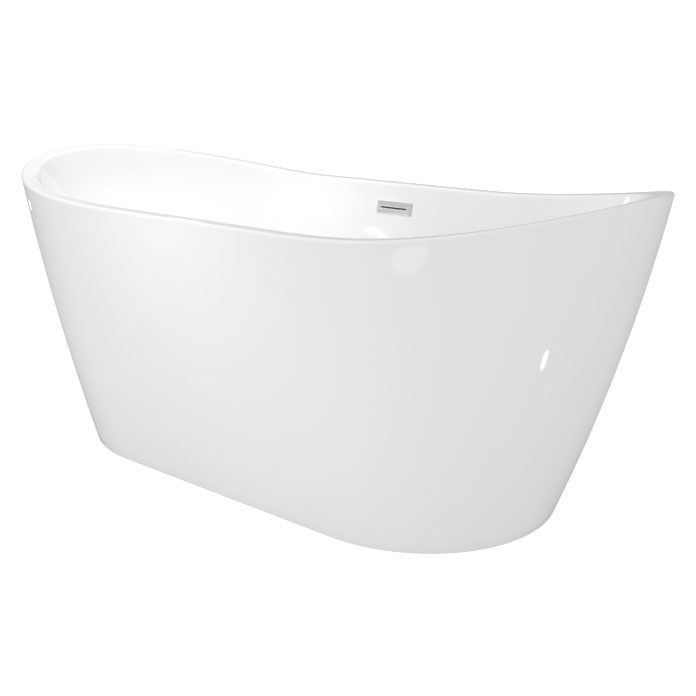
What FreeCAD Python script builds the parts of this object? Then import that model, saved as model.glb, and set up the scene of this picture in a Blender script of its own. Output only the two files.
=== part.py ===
import FreeCAD, Part
import math
import os
import Sketcher

os.makedirs("parts", exist_ok=True)
doc = FreeCAD.newDocument("bathtub")
Vector = FreeCAD.Vector
Constraint = Sketcher.Constraint

# Driving sizes in millimetres. +X is the length of the bath, +Y the overflow side, +Z up.
SIZES = [
    # Outer form
    ("length", 1500),
    ("width", 745),
    ("end_height", 650),
    ("rim_dip", 73),
    ("level_half", 219),
    ("end_taper", 177),
    ("side_taper", 89),
    ("end_bow", 16.7),
    ("side_bow", 3.3),
    # Shell build-up
    ("skirt_wall", 6),
    ("rim_band", 28),
    ("lip_wall", 5),
    ("lip_depth", 14),
    ("rim_flange", 5),
    ("basin_wall", 5),
    ("backing", 3),
    ("gap", 0.3),
    ("fit", 0.05),
    ("rim_outer_radius", 6),
    ("rim_inner_radius", 10),
    # Bathing well
    ("floor_height", 140),
    ("floor_end_margin", 45),
    ("floor_side_margin", 27.5),
    ("floor_radius", 90),
    # Floor board and steel frame
    ("board_end_inset", 320),
    ("board_width", 300),
    ("board_thickness", 15),
    ("board_hole_radius", 48),
    ("tube", 30),
    ("tube_wall", 2),
    ("rail_offset", 115),
    ("rail_end_inset", 290),
    ("foot_end_inset", 350),
    ("cross_inner", 110),
    ("cross_end_inset", 130),
    ("brace_foot_offset", 150),
    ("brace_width", 60),
    ("screw_radius", 3),
    ("screw_head", 5),
    ("screw_depth", 11),
    # Feet
    ("stud_radius", 6),
    ("stud_base", 6),
    ("stud_headroom", 10.7),
    ("nut_height", 10),
    ("nut_radius", 10.5),
    ("collar_low", 16),
    ("collar_height", 8),
    ("pad_radius", 25),
    ("pad_height", 14),
    ("pad_edge", 5),
    ("pad_slope", 10),
    # Waste
    ("waste_recess_radius", 43),
    ("waste_recess", 3),
    ("waste_hole_radius", 26),
    ("waste_flange_radius", 36),
    ("waste_tail_radius", 24),
    ("waste_bore", 19),
    ("waste_tail_drop", 70),
    ("waste_funnel", 6),
    ("waste_funnel_reach", 2),
    ("top_seal", 1),
    ("flange_thickness", 2.5),
    ("flange_edge", 1),
    ("hub_radius", 6),
    ("hub_bore", 4),
    ("hub_low_drop", 26),
    ("hub_high_drop", 14),
    ("spoke_width", 3),
    ("bottom_seal", 4),
    ("bottom_seal_reach", 16),
    ("waste_nut_flange", 3),
    ("waste_nut_flange_reach", 14),
    ("waste_nut_hex", 5),
    ("waste_nut_hex_reach", 13),
    ("tee_radius", 30),
    ("tee_half", 25),
    ("tee_neck", 10),
    ("tee_neck_step", 2),
    ("tee_side_rise", 15),
    ("spigot_wall", 2.5),
    ("pipe_radius", 19.05),
    ("pipe_step", 1),
    ("pipe_wall", 2.5),
    ("pipe_end_ratio", 3.75),
    ("pipe_hold", 5),
    ("slip_nut_reach", 6),
    ("slip_nut_skirt", 5),
    ("cartridge_radius", 8),
    ("cartridge_head", 7),
    ("stopper_radius", 32),
    ("stopper_gap", 2),
    ("stopper_hub", 6),
    ("stopper_hub_depth", 4),
    ("stopper_edge", 1.5),
    ("stopper_shoulder", 3),
    ("stopper_crown", 4),
    ("stem_reach", 1),
    ("seal_width", 6),
    ("stem_radius", 2.5),
    # Overflow
    ("overflow_drop", 57),
    ("plate_length", 100),
    ("plate_height", 30),
    ("plate_depth", 5),
    ("plate_edge", 1),
    ("plate_end_bevel", 20),
    ("plate_side_bevel", 22),
    ("slot_length", 76),
    ("slot_height", 3.5),
    ("opening_length", 90),
    ("opening_height", 20),
    ("retainer", 1),
    ("retainer_margin", 4),
    ("retainer_window_margin", 13),
    ("window_height", 14),
    ("gasket", 2),
    ("housing_depth", 22),
    ("housing_wall", 2),
    ("housing_margin", 14),
    ("screw_spacing", 83),
    ("overflow_screw", 2.5),
    ("overflow_screw_head", 4.5),
    ("overflow_screw_hold", 12),
    ("boss_margin", 0.5),
    ("housing_spigot", 28),
    ("spigot_offset", 1),
    ("hose_radius", 12.5),
    ("hose_bore", 10),
    ("hose_bend", 60),
    ("hose_start_gap", 5),
    ("hose_overlap", 20),
    ("spigot_reach", 76),
    ("clip_width", 9),
    ("clip_wall", 0.8),
    ("clip_offset", 6),
    ("clip_block", 8),
    ("clip_block_height", 10),
]


class Size:
    """A length kept both as a number and as the spreadsheet expression that gives it."""

    def __init__(self, value, text):
        self.value = float(value)
        self.text = text

    def __add__(self, other):
        other = as_size(other)
        return Size(self.value + other.value, "(%s + %s)" % (self.text, other.text))

    __radd__ = __add__

    def __sub__(self, other):
        other = as_size(other)
        return Size(self.value - other.value, "(%s - %s)" % (self.text, other.text))

    def __mul__(self, other):
        other = as_size(other)
        return Size(self.value * other.value, "(%s * %s)" % (self.text, other.text))

    def __truediv__(self, other):
        other = as_size(other)
        return Size(self.value / other.value, "(%s / %s)" % (self.text, other.text))

    def __neg__(self):
        return self * -1


def as_size(item):
    """Give a plain number the same two forms as a named size."""
    return item if isinstance(item, Size) else Size(item, "%.9g" % item)


def root(size):
    """Square root of a size."""
    return Size(math.sqrt(size.value), "sqrt(%s)" % size.text)


sheet = doc.addObject("Spreadsheet::Sheet", "sizes")
size = {}
for row, (alias, number) in enumerate(SIZES, 1):
    sheet.set("A%d" % row, alias)
    sheet.set("B%d" % row, str(number))
    sheet.setAlias("B%d" % row, alias)
    size[alias] = Size(number, "sizes." + alias)
doc.recompute()

ZERO = as_size(0)
SIDES = [("front", -1), ("back", 1)]
ENDS = [("left", -1), ("right", 1)]
CORNERS = [(side + "_" + end, sx, sy) for side, sy in SIDES for end, sx in ENDS]

nodes = []


def keep(item, label):
    """Name a finished sub-part and list it for writing out."""
    item.Label = label
    nodes.append(item)
    return item


def bind(item, path, value):
    """Tie one property to the spreadsheet."""
    item.setExpression(path, as_size(value).text)


def place(item, at=(0, 0, 0), turn=0, tilt=None):
    """Put an item at a bound position, turned about X by fixed degrees or by a bound angle."""
    item.Placement = FreeCAD.Placement(Vector(0, 0, 0), FreeCAD.Rotation(Vector(1, 0, 0), turn))
    for axis, value in zip("xyz", at):
        bind(item, "Placement.Base." + axis, value)
    if tilt:
        # Any first angle will do: it gives the rotation its axis, and the bound angle replaces it.
        item.Placement.Rotation = FreeCAD.Rotation(Vector(1, 0, 0), 45)
        item.setExpression("Placement.Rotation.Angle", tilt)
    return item


def dimension(sketch, kind, *args):
    """Add one dimension and tie it to the spreadsheet; the last argument is its size."""
    value = as_size(args[-1])
    index = sketch.addConstraint(Constraint(kind, *args[:-1], value.value))
    name = "d%d" % index
    sketch.renameConstraint(index, name)
    bind(sketch, "Constraints." + name, value)


def free_sketch(label, at=(0, 0, 0), turn=0):
    """A sketch outside any body."""
    return place(doc.addObject("Sketcher::SketchObject", label), at, turn)


def body_sketch(body, role, label):
    """A sketch on one of the body's own origin planes."""
    plane = [item for item in body.Origin.OriginFeatures if item.Role == role][0]
    sketch = body.newObject("Sketcher::SketchObject", label)
    sketch.AttachmentSupport = (plane, [""])
    sketch.MapMode = "FlatFace"
    return sketch


def draw_polygon(sketch, points):
    """Closed outline with every corner dimensioned from the sketch origin."""
    points = [(as_size(x), as_size(y)) for x, y in points]
    corners = [Vector(x.value, y.value, 0) for x, y in points]
    lines = []
    for start, end in zip(corners, corners[1:] + corners[:1]):
        lines.append(sketch.addGeometry(Part.LineSegment(start, end)))
    for line, following in zip(lines, lines[1:] + lines[:1]):
        sketch.addConstraint(Constraint("Coincident", line, 2, following, 1))
    for line, (x, y) in zip(lines, points):
        dimension(sketch, "DistanceX", -1, 1, line, 1, x)
        dimension(sketch, "DistanceY", -1, 1, line, 1, y)


def draw_circle(sketch, radius, x=0, y=0):
    """Circle dimensioned from the sketch origin."""
    x, y, radius = as_size(x), as_size(y), as_size(radius)
    curve = sketch.addGeometry(Part.Circle(Vector(x.value, y.value, 0), Vector(0, 0, 1), radius.value))
    dimension(sketch, "Radius", curve, radius)
    dimension(sketch, "DistanceX", -1, 1, curve, 3, x)
    dimension(sketch, "DistanceY", -1, 1, curve, 3, y)


def rectangle(length, width, x=0, y=0):
    """Corner points of a rectangle centred on x, y."""
    long, wide, x, y = as_size(length) / 2, as_size(width) / 2, as_size(x), as_size(y)
    return [(x - long, y - wide), (x + long, y - wide), (x + long, y + wide), (x - long, y + wide)]


def stadium(label, half_length, half_width, height):
    """Outline with straight sides and half-round ends at a given height."""
    sketch = free_sketch(label, (0, 0, height))
    run = half_length - half_width
    x, r = run.value, half_width.value
    up = Vector(0, 0, 1)
    quarter = math.pi / 2
    right = sketch.addGeometry(Part.ArcOfCircle(Part.Circle(Vector(x, 0, 0), up, r), -quarter, quarter))
    left = sketch.addGeometry(Part.ArcOfCircle(Part.Circle(Vector(-x, 0, 0), up, r), quarter, 3 * quarter))
    back = sketch.addGeometry(Part.LineSegment(Vector(x, r, 0), Vector(-x, r, 0)))
    front = sketch.addGeometry(Part.LineSegment(Vector(-x, -r, 0), Vector(x, -r, 0)))
    order = [right, back, left, front]
    for piece, following in zip(order, order[1:] + order[:1]):
        sketch.addConstraint(Constraint("Tangent", piece, 2, following, 1))
    for arc, centre in ((right, run), (left, -run)):
        sketch.addConstraint(Constraint("PointOnObject", arc, 3, -1))
        dimension(sketch, "DistanceX", -1, 1, arc, 3, centre)
    sketch.addConstraint(Constraint("Equal", right, left))
    dimension(sketch, "Radius", right, half_width)
    return sketch


def loft(label, sections, ruled=False):
    """Solid through a list of outlines."""
    item = doc.addObject("Part::Loft", label)
    item.Sections = sections
    item.Solid = True
    item.Ruled = ruled
    return item


def boolean(kind, label, first, second):
    """Cut, Common or Fuse of two solids."""
    item = doc.addObject("Part::" + kind, label)
    item.Base = first
    item.Tool = second
    return item


def join(label, items):
    """One solid from several touching ones."""
    item = doc.addObject("Part::MultiFuse", label)
    item.Shapes = items
    return item


def group(label, items):
    """Several separate solids kept as one set."""
    item = doc.addObject("Part::Compound", label)
    item.Links = items
    return item


def box(label, length, width, height, at=(0, 0, 0)):
    """Block centred in X and Y on its position, rising from it."""
    item = doc.addObject("Part::Box", label)
    bind(item, "Length", length)
    bind(item, "Width", width)
    bind(item, "Height", height)
    x, y, z = [as_size(value) for value in at]
    return place(item, (x - as_size(length) / 2, y - as_size(width) / 2, z))


def cylinder(label, radius, height, at=(0, 0, 0), turn=0):
    """Round bar from its position along Z, turned about X by the given degrees."""
    item = doc.addObject("Part::Cylinder", label)
    bind(item, "Radius", radius)
    bind(item, "Height", height)
    return place(item, at, turn)


def hexagon(label, radius, height, at=(0, 0, 0)):
    """Six-sided bar of a given corner radius."""
    item = doc.addObject("Part::Prism", label)
    item.Polygon = 6
    bind(item, "Circumradius", radius)
    bind(item, "Height", height)
    return place(item, at)


def turned(label, profile, at=(0, 0, 0), tilt=None):
    """Body of revolution about its own Z axis from a half profile of radius and height."""
    body = doc.addObject("PartDesign::Body", label)
    sketch = body_sketch(body, "XZ_Plane", label + "_profile")
    draw_polygon(sketch, profile)
    turning = body.newObject("PartDesign::Revolution", label + "_turning")
    turning.Profile = sketch
    turning.ReferenceAxis = (sketch, ["V_Axis"])
    turning.Angle = 360
    body.Tip = turning
    return place(body, at, tilt=tilt)


def ring(inner, outer, low, high):
    """Half profile of a plain ring."""
    return [(inner, low), (outer, low), (outer, high), (inner, high)]


def pocket(body, role, label, draw, length=None, upwards=True):
    """Cut a drawn outline out of a body, through everything or to a bound depth up or down from the plane."""
    sketch = body_sketch(body, role, label + "_outline")
    draw(sketch)
    cut = body.newObject("PartDesign::Pocket", label)
    cut.Profile = sketch
    if length is None:
        cut.Type = "ThroughAll"
        cut.Midplane = True
    else:
        bind(cut, "Length", length)
        cut.Reversed = upwards
    body.Tip = cut


# ---------------------------------------------------------------- outer form

def outer_half_length(height):
    """Half length of the outside at a height, with a slight outward bow between base and rim."""
    share = as_size(height) / size["end_height"]
    bow = size["end_bow"] * 4 * share * (as_size(1) - share)
    return size["length"] / 2 - size["end_taper"] + size["end_taper"] * share + bow


def outer_half_width(height):
    """Half width of the outside at a height."""
    share = as_size(height) / size["end_height"]
    bow = size["side_bow"] * 4 * share * (as_size(1) - share)
    return size["width"] / 2 - size["side_taper"] + size["side_taper"] * share + bow


# Lengths by which cutting and trimming solids overshoot what they cut.
EXTRA = 30
LOW_EXTRA = 10
SMALL_EXTRA = 5
TINY_EXTRA = 1


def outer_solid(label, inset, low):
    """Solid of the outside form, drawn in by an inset."""
    heights = [as_size(low), size["end_height"] / 2, size["end_height"] + EXTRA]
    sections = []
    for index, height in enumerate(heights):
        half_length = outer_half_length(height) - inset
        half_width = outer_half_width(height) - inset
        sections.append(stadium("%s_section_%d" % (label, index), half_length, half_width, height))
    return loft(label, sections)


def rim_height(x):
    """Height of the rim at a distance from the middle."""
    past = max(abs(x) - size["level_half"].value, 0)
    return middle_height.value + sweep_radius.value - math.sqrt(sweep_radius.value ** 2 - past ** 2)


middle_height = size["end_height"] - size["rim_dip"]
sweep_run = size["length"] / 2 - size["level_half"]
sweep_radius = (sweep_run * sweep_run + size["rim_dip"] * size["rim_dip"]) / (size["rim_dip"] * 2)


def rim_block(label, drop):
    """Everything below the rim line, which is level in the middle and sweeps up to both ends."""
    sketch = free_sketch(label + "_outline", turn=90)
    level = middle_height - drop
    reach = size["length"] / 2 + LOW_EXTRA
    x, z, far, radius = size["level_half"].value, level.value, reach.value, sweep_radius.value
    base = -LOW_EXTRA
    angle = math.asin((far - x) / radius)
    top = z + radius * (1 - math.cos(angle))
    down = -math.pi / 2
    normal = Vector(0, 0, 1)
    middle = sketch.addGeometry(Part.LineSegment(Vector(-x, z, 0), Vector(x, z, 0)))
    right_circle = Part.Circle(Vector(x, z + radius, 0), normal, radius)
    left_circle = Part.Circle(Vector(-x, z + radius, 0), normal, radius)
    right_arc = sketch.addGeometry(Part.ArcOfCircle(right_circle, down, down + angle))
    left_arc = sketch.addGeometry(Part.ArcOfCircle(left_circle, down - angle, down))
    right_side = sketch.addGeometry(Part.LineSegment(Vector(far, top, 0), Vector(far, base, 0)))
    bottom = sketch.addGeometry(Part.LineSegment(Vector(far, base, 0), Vector(-far, base, 0)))
    left_side = sketch.addGeometry(Part.LineSegment(Vector(-far, base, 0), Vector(-far, top, 0)))
    sketch.addConstraint(Constraint("Tangent", middle, 2, right_arc, 1))
    sketch.addConstraint(Constraint("Tangent", left_arc, 2, middle, 1))
    sketch.addConstraint(Constraint("Coincident", right_arc, 2, right_side, 1))
    sketch.addConstraint(Constraint("Coincident", right_side, 2, bottom, 1))
    sketch.addConstraint(Constraint("Coincident", bottom, 2, left_side, 1))
    sketch.addConstraint(Constraint("Coincident", left_side, 2, left_arc, 1))
    sketch.addConstraint(Constraint("Horizontal", middle))
    sketch.addConstraint(Constraint("Horizontal", bottom))
    sketch.addConstraint(Constraint("Vertical", right_side))
    sketch.addConstraint(Constraint("Vertical", left_side))
    dimension(sketch, "DistanceY", -1, 1, middle, 1, level)
    dimension(sketch, "DistanceX", -1, 1, middle, 1, -size["level_half"])
    dimension(sketch, "DistanceX", -1, 1, middle, 2, size["level_half"])
    dimension(sketch, "DistanceY", -1, 1, bottom, 1, base)
    dimension(sketch, "DistanceX", -1, 1, bottom, 1, reach)
    dimension(sketch, "DistanceX", -1, 1, bottom, 2, -reach)
    dimension(sketch, "Radius", right_arc, sweep_radius)
    dimension(sketch, "Radius", left_arc, sweep_radius)
    item = doc.addObject("Part::Extrusion", label)
    item.Base = sketch
    item.DirMode = "Custom"
    item.Dir = Vector(0, 1, 0)
    item.Symmetric = True
    item.Solid = True
    bind(item, "LengthFwd", size["width"] + EXTRA)
    return item


skirt_ring = boolean("Cut", "skirt_ring", outer_solid("outer_form", ZERO, 0),
                     outer_solid("skirt_inside", size["skirt_wall"], -LOW_EXTRA))
skirt_top = rim_block("skirt_top", size["lip_depth"] + size["gap"])
keep(boolean("Common", "skirt_trim", skirt_ring, skirt_top), "skirt")

# ---------------------------------------------------------------- bathing well

well_depth = size["end_height"] - size["floor_height"]
end_inset = size["end_taper"] + size["floor_end_margin"]
side_inset = size["side_taper"] + size["floor_side_margin"]
floor_half_length = size["length"] / 2 - size["rim_band"] - end_inset
floor_half_width = size["width"] / 2 - size["rim_band"] - side_inset
end_slope = end_inset / well_depth
side_slope = side_inset / well_depth
side_cosine = as_size(1) / root(side_slope * side_slope + 1)


def well_solid(label, outset):
    """The bathing well, or a solid a constant thickness larger, with its rounded floor edge."""
    outset = as_size(outset)
    low = size["floor_height"] - outset
    sections = []
    for index, height in enumerate([low, size["end_height"] + EXTRA]):
        rise = height - size["floor_height"]
        half_length = floor_half_length + end_slope * rise + outset
        half_width = floor_half_width + side_slope * rise + outset / side_cosine
        sections.append(stadium("%s_section_%d" % (label, index), half_length, half_width, height))
    straight = loft(label + "_straight", sections, ruled=True)
    doc.recompute()
    item = doc.addObject("Part::Fillet", label)
    item.Base = straight
    radius = size["floor_radius"].value + outset.value
    bottom = [index for index, edge in enumerate(straight.Shape.Edges, 1)
              if edge.BoundBox.ZMax - low.value < 0.01]
    item.Edges = [(index, radius, radius) for index in bottom]
    return item


def rim_edges(shape, outer):
    """Numbers of the edges where the rim top meets the outside or the bathing well."""
    found = []
    for index, edge in enumerate(shape.Edges, 1):
        points = edge.discretize(7)
        on_top = all(abs(point.z - rim_height(point.x)) < 0.05 for point in points)
        offsets = []
        for point in points:
            half_width = outer_half_width(point.z).value
            run = outer_half_length(point.z).value - half_width
            offsets.append(half_width - math.hypot(max(abs(point.x) - run, 0), point.y))
        middle = size["rim_band"].value / 2
        on_side = all((offset < middle) == outer for offset in offsets)
        if on_top and on_side:
            found.append(index)
    return found


well = well_solid("well", 0)
bowl = well_solid("bowl_outside", size["basin_wall"])
basin_block = boolean("Common", "basin_block", outer_solid("basin_outside", ZERO, 0),
                      rim_block("rim_top", ZERO))
lip_inside = boolean("Common", "lip_inside", outer_solid("lip_form", size["lip_wall"], -LOW_EXTRA),
                     rim_block("flange_underside", size["rim_flange"]))
below_lip = rim_block("below_lip", size["lip_depth"])
underside = boolean("Cut", "underside", join("underside_space", [below_lip, lip_inside]), bowl)
basin_shell = boolean("Cut", "basin_shell", boolean("Cut", "basin_under", basin_block, underside), well)
doc.recompute()
rim = doc.addObject("Part::Fillet", "rim_rounding")
rim.Base = basin_shell
rim_radii = [(True, size["rim_outer_radius"].value), (False, size["rim_inner_radius"].value)]
rim.Edges = [(index, radius, radius) for outer, radius in rim_radii
             for index in rim_edges(basin_shell.Shape, outer)]

overflow_height = middle_height - size["overflow_drop"]
overflow_y = floor_half_width + side_slope * (overflow_height - size["floor_height"])
WALL_TILT = "90 deg - atan(%s)" % side_slope.text


def on_wall(item):
    """Move an item drawn in the overflow's frame, whose Z points into the bath, onto the back wall."""
    return place(item, (0, overflow_y, overflow_height), tilt=WALL_TILT)


def shell_holes(label, recess):
    """Waste and overflow openings through the basin or its backing."""
    waste_hole = cylinder(label + "_waste", size["waste_hole_radius"], size["floor_height"])
    overflow_box = box(label + "_overflow", size["opening_length"], size["opening_height"], EXTRA,
                       (0, 0, -EXTRA / 2))
    overflow_hole = on_wall(group(label + "_overflow_hole", [overflow_box]))
    tools = [waste_hole, overflow_hole]
    if recess:
        low = size["floor_height"] - size["waste_recess"]
        tools.append(cylinder(label + "_recess", size["waste_recess_radius"], EXTRA, (0, 0, low)))
    return join(label, tools)


keep(boolean("Cut", "basin_holed", rim, shell_holes("basin_holes", True)), "basin")

backing_inner = size["basin_wall"] + size["gap"]
backing_outer = backing_inner + size["backing"]
backing_shell = boolean("Cut", "backing_shell", well_solid("backing_outside", backing_outer),
                        well_solid("backing_inside", backing_inner))
backing_trim = boolean("Common", "backing_trim", backing_shell,
                       rim_block("backing_top", size["rim_flange"] + size["gap"]))
keep(boolean("Cut", "backing_holed", backing_trim, shell_holes("backing_holes", False)),
     "glass_fibre_backing")

# ---------------------------------------------------------------- floor board and frame

board_top = size["floor_height"] - backing_outer
board_low = board_top - size["board_thickness"]
rail_low = board_low - size["tube"]
tube_middle = board_low - size["tube"] / 2
rail_half = size["length"] / 2 - size["rail_end_inset"]
foot_x = size["length"] / 2 - size["foot_end_inset"]
foot_y = size["rail_offset"]
brace_x = foot_x - size["brace_foot_offset"]
board_length = size["length"] - size["board_end_inset"] * 2
screw_xs = [-brace_x, -size["brace_width"], size["brace_width"], brace_x]

board = doc.addObject("PartDesign::Body", "board_body")
board_outline = body_sketch(board, "XY_Plane", "board_outline")
draw_polygon(board_outline, rectangle(board_length, size["board_width"]))
board_pad = board.newObject("PartDesign::Pad", "board_pad")
board_pad.Profile = board_outline
bind(board_pad, "Length", size["board_thickness"])
board.Tip = board_pad
pocket(board, "XY_Plane", "board_waste_hole", lambda sketch: draw_circle(sketch, size["board_hole_radius"]))


def board_screw_holes(sketch):
    """One pilot hole for every frame screw."""
    for x in screw_xs:
        for y in (-foot_y, foot_y):
            draw_circle(sketch, size["screw_radius"] + size["fit"], x, y)


pocket(board, "XY_Plane", "board_screw_holes", board_screw_holes, size["screw_depth"] + TINY_EXTRA)
keep(place(board, (0, 0, board_low)), "floor_board")


def square_tube(label, role, half_length):
    """Square steel tube along X or Y, centred on its own origin."""
    body = doc.addObject("PartDesign::Body", label)
    outline = body_sketch(body, role, label + "_outline")
    for width in (size["tube"], size["tube"] - size["tube_wall"] * 2):
        draw_polygon(outline, rectangle(width, width))
    pad = body.newObject("PartDesign::Pad", label + "_pad")
    pad.Profile = outline
    pad.Midplane = True
    bind(pad, "Length", half_length * 2)
    body.Tip = pad
    return body


def rail_screw_holes(sketch):
    """Clearance holes for the frame screws, through both walls."""
    for x in screw_xs:
        draw_circle(sketch, size["screw_radius"] + size["gap"], x)


def rail_stud_holes(sketch):
    """Clearance holes for the foot studs, through the lower wall."""
    for x in (-foot_x, foot_x):
        draw_circle(sketch, size["stud_radius"] + size["gap"], x)


for side, sy in SIDES:
    rail = square_tube("rail_body_" + side, "YZ_Plane", rail_half)
    pocket(rail, "XY_Plane", "rail_screw_holes_" + side, rail_screw_holes)
    pocket(rail, "XY_Plane", "rail_stud_holes_" + side, rail_stud_holes, size["tube"] / 2, upwards=False)
    keep(place(rail, (0, foot_y * sy, tube_middle)), "rail_" + side)

cross_length = foot_y * 2 - size["tube"]
cross_outer = rail_half - size["cross_end_inset"]
for index, x in enumerate([-cross_outer, -size["cross_inner"], size["cross_inner"], cross_outer], 1):
    cross = square_tube("cross_body_%d" % index, "XZ_Plane", cross_length / 2)
    keep(place(cross, (x, 0, tube_middle)), "cross_member_%d" % index)

brace_inside = outer_solid("brace_limit", size["skirt_wall"] + size["gap"], -LOW_EXTRA)
for corner, sx, sy in CORNERS:
    reach = size["width"] / 2 - foot_y
    middle = foot_y + size["tube"] / 2 + reach / 2
    block = box("brace_block_" + corner, size["brace_width"], reach, size["tube"],
                (brace_x * sx, middle * sy, rail_low))
    keep(boolean("Common", "brace_trim_" + corner, block, brace_inside), "skirt_brace_" + corner)

screws = []
for x in screw_xs:
    for y in (-foot_y, foot_y):
        number = len(screws) + 1
        shank = cylinder("frame_shank_%d" % number, size["screw_radius"], size["tube"] + size["screw_depth"],
                         (x, y, rail_low))
        head = hexagon("frame_head_%d" % number, size["screw_radius"] * 2, size["screw_head"],
                       (x, y, rail_low - size["screw_head"]))
        screws.append(join("frame_screw_%d" % number, [shank, head]))
keep(group("frame_screw_set", screws), "frame_screws")

# ---------------------------------------------------------------- adjustable feet

weld_low = rail_low - size["nut_height"]
lock_low = weld_low - size["nut_height"]
stud_top = board_low - size["stud_headroom"]
socket = size["stud_radius"] + size["fit"]
pad_shoulder = size["pad_radius"] - size["pad_slope"]
pad_profile = [(0, 0), (size["pad_radius"], 0), (size["pad_radius"], size["pad_edge"]),
               (pad_shoulder, size["pad_height"]), (socket, size["pad_height"]), (socket, size["stud_base"]),
               (0, size["stud_base"])]
for corner, sx, sy in CORNERS:
    x, y = foot_x * sx, foot_y * sy
    for name, low in (("weld_nut_", weld_low), ("lock_nut_", lock_low)):
        blank = hexagon(name + "blank_" + corner, size["nut_radius"], size["nut_height"], (x, y, low))
        bore = cylinder(name + "bore_" + corner, socket, size["nut_height"], (x, y, low))
        keep(boolean("Cut", name + "body_" + corner, blank, bore), name + corner)
    rod = cylinder("stud_rod_" + corner, size["stud_radius"], stud_top - size["stud_base"],
                   (x, y, size["stud_base"]))
    collar = hexagon("stud_collar_" + corner, size["nut_radius"], size["collar_height"],
                     (x, y, size["collar_low"]))
    keep(join("stud_body_" + corner, [rod, collar]), "foot_stud_" + corner)
    keep(turned("pad_body_" + corner, pad_profile, (x, y, 0)), "foot_pad_" + corner)

# ---------------------------------------------------------------- waste

recess_top = size["floor_height"] - size["waste_recess"]
tail = size["waste_tail_radius"]
bore = size["waste_bore"]
flange = size["waste_flange_radius"]
tail_low = size["floor_height"] - size["waste_tail_drop"]
seat = recess_top + size["top_seal"]
flange_top = seat + size["flange_thickness"]
edge = size["flange_edge"]
hub_low = seat - size["hub_low_drop"]
hub_high = seat - size["hub_high_drop"]
hub_height = hub_high - hub_low

keep(turned("top_seal_body", ring(tail + edge, flange - edge, recess_top, seat)), "waste_top_seal")
flange_profile = [(tail, tail_low), (tail, seat), (flange, seat), (flange, flange_top - edge),
                  (flange - edge, flange_top), (tail + size["waste_funnel_reach"], flange_top),
                  (bore, seat - size["waste_funnel"]), (bore, tail_low)]
flange_ring = turned("waste_flange_ring", flange_profile)
spoke_length = (bore + edge) * 2
spokes = [box("waste_spoke_1", spoke_length, size["spoke_width"], hub_height, (0, 0, hub_low)),
          box("waste_spoke_2", size["spoke_width"], spoke_length, hub_height, (0, 0, hub_low)),
          cylinder("waste_hub", size["hub_radius"], hub_height, (0, 0, hub_low))]
hub_bore = cylinder("waste_hub_bore", size["hub_bore"], EXTRA, (0, 0, hub_low - SMALL_EXTRA))
keep(boolean("Cut", "waste_flange_bored", join("waste_flange_joined", [flange_ring] + spokes), hub_bore),
     "waste_flange")

seal_low = board_top - size["bottom_seal"]
nut_high = seal_low - size["waste_nut_flange"]
nut_low = nut_high - size["waste_nut_hex"]
bottom_seal = ring(tail + size["gap"], tail + size["bottom_seal_reach"], seal_low, board_top)
keep(turned("bottom_seal_body", bottom_seal), "waste_bottom_seal")
nut_ring = cylinder("waste_nut_ring", tail + size["waste_nut_flange_reach"], size["waste_nut_flange"],
                    (0, 0, nut_high))
nut_hex = hexagon("waste_nut_hex", tail + size["waste_nut_hex_reach"], size["waste_nut_hex"], (0, 0, nut_low))
nut_bore = cylinder("waste_nut_bore", tail + size["fit"], EXTRA, (0, 0, nut_low - TINY_EXTRA))
keep(boolean("Cut", "waste_nut_bored", join("waste_nut_joined", [nut_ring, nut_hex]), nut_bore), "waste_nut")

# The tailpiece is thinner where the waste tee and its nut hold it, and full size below them.
# Its open end keeps the same share of the nut's height above the floor when the well is made deeper.
tee_top = tail_low + size["tee_half"]
tee_low = tail_low - size["tee_half"]
neck = tail - size["tee_neck_step"]
neck_low = tee_low - size["tee_neck"]
pipe = size["pipe_radius"]
pipe_bore = pipe - size["pipe_wall"]
held_pipe = pipe - size["pipe_step"]
held_space = held_pipe + size["gap"]
spigot = size["hose_bore"] - size["fit"]
spigot_bore = size["hose_bore"] - size["spigot_wall"]
side_z = tee_low + size["tee_side_rise"]
tee_body = [cylinder("tee_barrel", size["tee_radius"], tee_top - tee_low, (0, 0, tee_low)),
            cylinder("tee_neck", neck, size["tee_neck"], (0, 0, neck_low)),
            cylinder("tee_spigot", spigot, size["spigot_reach"], (0, 0, side_z), -90)]
tee_space = [cylinder("tee_socket", tail + size["fit"], EXTRA, (0, 0, tail_low)),
             cylinder("tee_way", pipe_bore, tail_low - tee_low, (0, 0, tee_low)),
             cylinder("tee_pipe_socket", held_space, size["tee_neck"] + size["pipe_hold"], (0, 0, neck_low)),
             cylinder("tee_spigot_bore", spigot_bore, size["spigot_reach"], (0, 0, side_z), -90)]
keep(boolean("Cut", "tee_bored", join("tee_joined", tee_body), join("tee_space", tee_space)), "waste_tee")

pipe_top = tee_low + size["pipe_hold"]
slip_low = neck_low - size["slip_nut_skirt"]
pipe_low = slip_low / size["pipe_end_ratio"]
tailpiece_profile = [(pipe_bore, pipe_low), (pipe, pipe_low), (pipe, slip_low),
                     (held_pipe, slip_low), (held_pipe, pipe_top), (pipe_bore, pipe_top)]
keep(turned("tailpiece_body", tailpiece_profile), "tailpiece")
slip_outer = neck + size["slip_nut_reach"]
slip_high = tee_low - TINY_EXTRA
slip_profile = [(held_space, slip_low), (slip_outer, slip_low), (slip_outer, slip_high),
                (neck + size["fit"], slip_high), (neck + size["fit"], neck_low), (held_space, neck_low)]
keep(turned("slip_nut_body", slip_profile), "slip_nut")

# ---------------------------------------------------------------- stopper

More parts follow.
